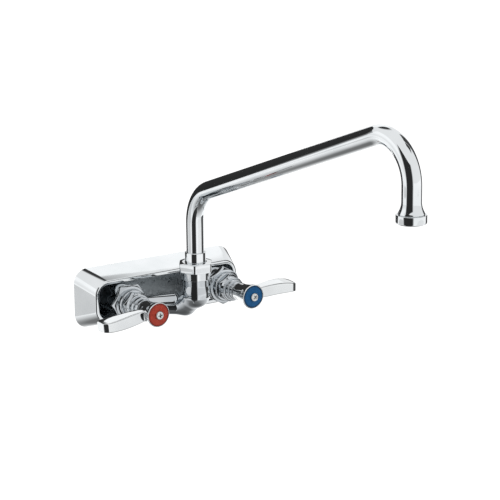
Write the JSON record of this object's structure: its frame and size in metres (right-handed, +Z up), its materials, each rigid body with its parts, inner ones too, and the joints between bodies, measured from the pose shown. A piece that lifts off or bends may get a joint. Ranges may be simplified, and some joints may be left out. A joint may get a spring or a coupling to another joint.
{
  "type": "wall-mounted faucet",
  "caption": "Wall-mounted two-handle faucet with a long raised swing spout, lever handles, hot and cold index discs and an open-fronted wall cover.",
  "frame": {"origin": "on the wall plane, midway between the hot and the cold inlet", "axes": "+X to the right along the wall as seen from the front, +Y into the wall, +Z up"},
  "size_m": [0.2119, 0.4234, 0.2304],
  "materials": {
    "chrome": "polished",
    "brass": "machined",
    "rubber": "matte",
    "ceramic": "lapped",
    "nylon": "moulded",
    "hot_red": "satin",
    "cold_blue": "satin",
    "stainless": "machined"
  },
  "bodies": {
    "fixed": {"wall_cover": "chrome", "faucet_body": "chrome", "inlet_shanks": "brass", "lock_washers": "stainless", "lock_nuts": "brass", "hot_bonnet": "chrome", "cold_bonnet": "chrome", "hot_gland_nut": "chrome", "cold_gland_nut": "chrome", "hot_cartridge_shell": "brass", "cold_cartridge_shell": "brass", "hot_seat_seal": "rubber", "cold_seat_seal": "rubber", "hot_fixed_disc": "ceramic", "cold_fixed_disc": "ceramic", "bonnet_o_rings": "rubber", "hot_spindle_o_ring": "rubber", "cold_spindle_o_ring": "rubber", "spout_nut": "chrome", "swivel_washer": "nylon"},
    "hot_handle": {"hot_turning_disc": "ceramic", "hot_spindle": "brass", "hot_lever": "chrome", "hot_index": "hot_red", "hot_screw": "stainless"},
    "cold_handle": {"cold_turning_disc": "ceramic", "cold_spindle": "brass", "cold_lever": "chrome", "cold_index": "cold_blue", "cold_screw": "stainless"},
    "spout": {"spout_stem": "chrome", "spout_o_rings": "rubber", "spout_tube": "chrome", "aerator_washer": "rubber", "aerator_insert": "nylon", "aerator_screen": "stainless", "aerator_housing": "chrome"}
  },
  "joints": [
    {"name": "spout_swivel", "type": "hinge", "parent": "fixed", "child": "spout", "pos_m": [0, -0.0734, 0.03], "axis": [0, 0, 1], "range_deg": [-90, 90]},
    {"name": "hot_handle_turn", "type": "hinge", "parent": "fixed", "child": "hot_handle", "pos_m": [-0.0508, -0.08, 0], "axis": [0, -1, 0], "range_deg": [0, 90]},
    {"name": "cold_handle_turn", "type": "hinge", "parent": "fixed", "child": "cold_handle", "pos_m": [0.0508, -0.08, 0], "axis": [0, 1, 0], "range_deg": [0, 90]}
  ]
}
